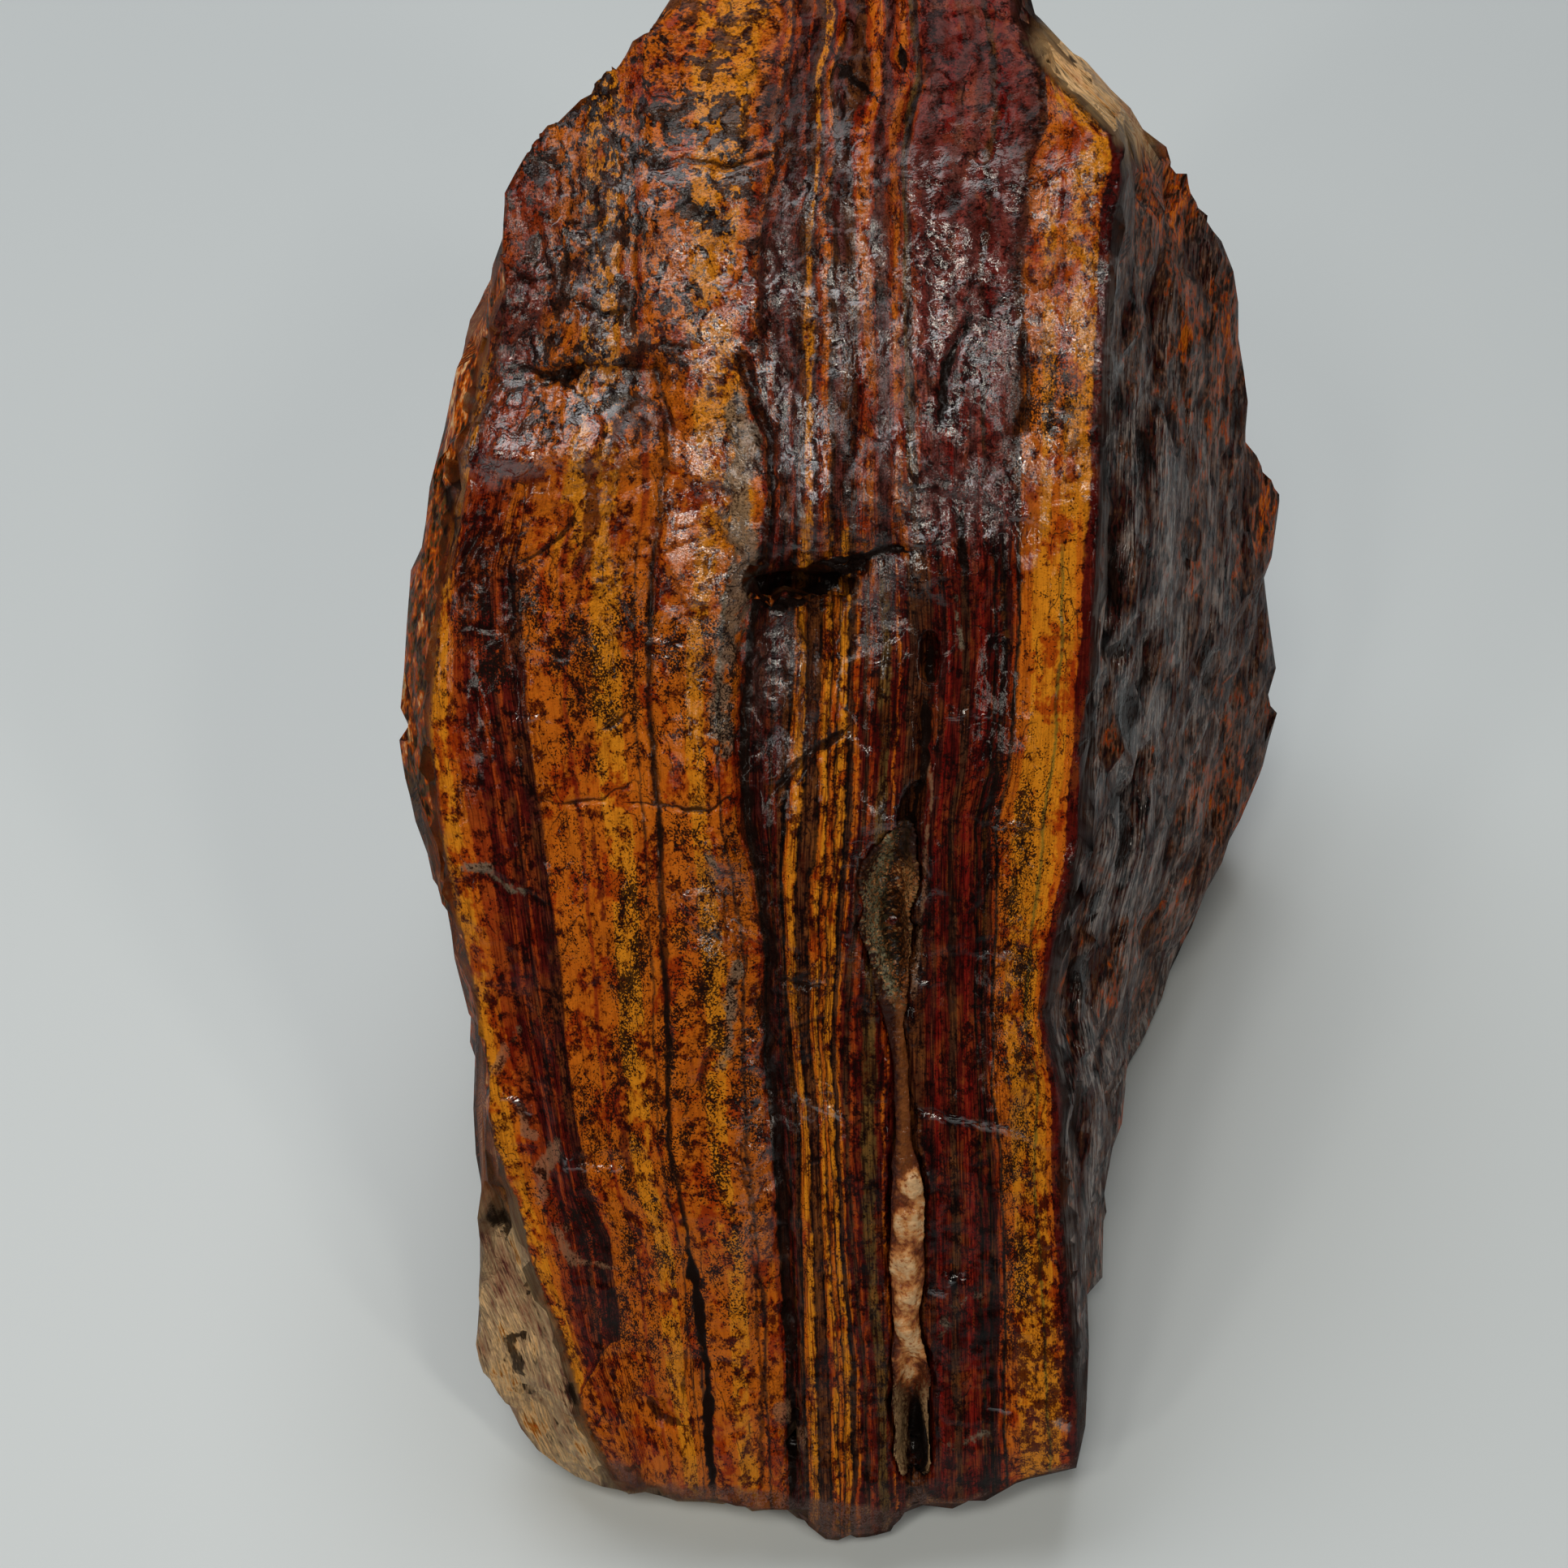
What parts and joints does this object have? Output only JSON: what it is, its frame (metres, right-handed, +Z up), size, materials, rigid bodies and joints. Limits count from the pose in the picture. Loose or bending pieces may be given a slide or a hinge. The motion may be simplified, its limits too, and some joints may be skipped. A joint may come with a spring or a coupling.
{
  "type": "rough stromatolite jasper",
  "caption": "Broken lump of red, orange and brown banded jasper that stands on a flat foot, with a quartz-lined seam down its front.",
  "frame": {"origin": "middle of the stone's box, at the level of the flat foot it stands on", "axes": "+Z up, +Y towards the back, the banded front looks towards -Y"},
  "size_m": [0.1606, 0.2056, 0.2063],
  "materials": {
    "banded_jasper": "wet, rough broken stone with bands of red, orange and dark brown",
    "seam_quartz": "wet, knobbly quartz crust, pinkish white to grey-green"
  },
  "bodies": {
    "root": {"jasper_block": "banded_jasper", "quartz_crust": "seam_quartz"}
  },
  "joints": []
}
